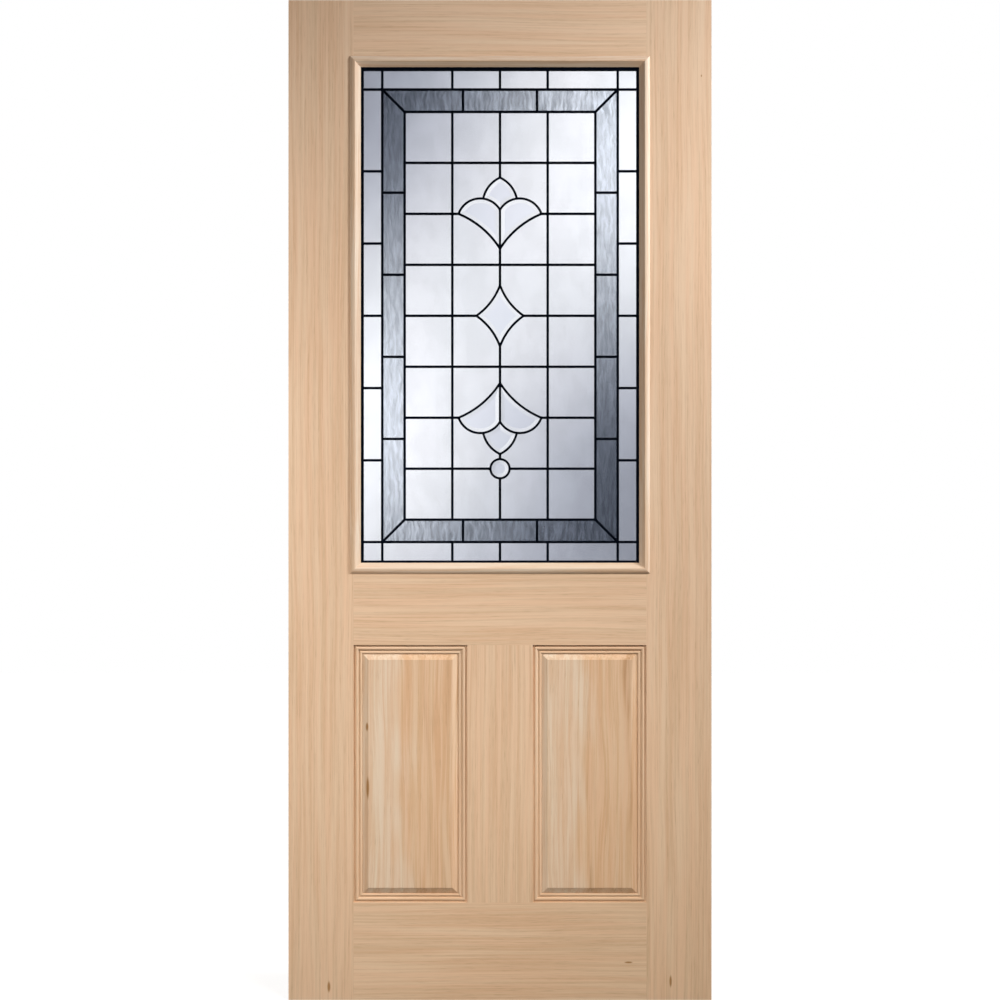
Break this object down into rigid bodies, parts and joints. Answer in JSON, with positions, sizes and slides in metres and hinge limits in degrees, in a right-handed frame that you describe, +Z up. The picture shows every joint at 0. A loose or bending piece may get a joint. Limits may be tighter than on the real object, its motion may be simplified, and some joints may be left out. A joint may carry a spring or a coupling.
{
  "type": "glazed exterior door",
  "caption": "Oak exterior door leaf with a tall leaded light of bevelled, textured and blue glass above raised and fielded panels parted by a muntin.",
  "frame": {"origin": "on the hinge-side edge face, at mid thickness, at the bottom of the leaf", "axes": "+X across the leaf from the hinge edge to the lock edge, +Y through the thickness from the outside face to the inside face, +Z up"},
  "size_m": [0.838, 0.0485, 1.981],
  "materials": {
    "oak_moulding": "satin",
    "oak_panel": "satin",
    "oak_frame": "satin",
    "pane_glass": "polished",
    "blue_glass": "satin",
    "textured_glass": "satin",
    "bevel_glass": "polished",
    "lead": "matte",
    "spacer": "satin"
  },
  "bodies": {
    "root": {"bevelled_clusters": "bevel_glass", "blue_border_glass": "blue_glass", "bottom_rail": "oak_frame", "diamond_and_jewel": "bevel_glass", "edge_strip_glass": "textured_glass", "field_quarries": "textured_glass", "inner_bead_bottom": "oak_moulding", "inner_bead_left": "oak_moulding", "inner_bead_right": "oak_moulding", "inner_bead_top": "oak_moulding", "inner_pane": "pane_glass", "inner_spacer": "spacer", "lead_cames": "lead", "left_edge_lipping": "oak_frame", "left_panel": "oak_panel", "left_panel_moulding_bottom": "oak_moulding", "left_panel_moulding_left": "oak_moulding", "left_panel_moulding_right": "oak_moulding", "left_panel_moulding_top": "oak_moulding", "left_stile": "oak_frame", "middle_rail": "oak_frame", "muntin": "oak_frame", "outer_bead_bottom": "oak_moulding", "outer_bead_left": "oak_moulding", "outer_bead_right": "oak_moulding", "outer_bead_top": "oak_moulding", "outer_pane": "pane_glass", "outer_spacer": "spacer", "right_edge_lipping": "oak_frame", "right_panel": "oak_panel", "right_panel_moulding_bottom": "oak_moulding", "right_panel_moulding_left": "oak_moulding", "right_panel_moulding_right": "oak_moulding", "right_panel_moulding_top": "oak_moulding", "right_stile": "oak_frame", "top_rail": "oak_frame"}
  },
  "joints": []
}
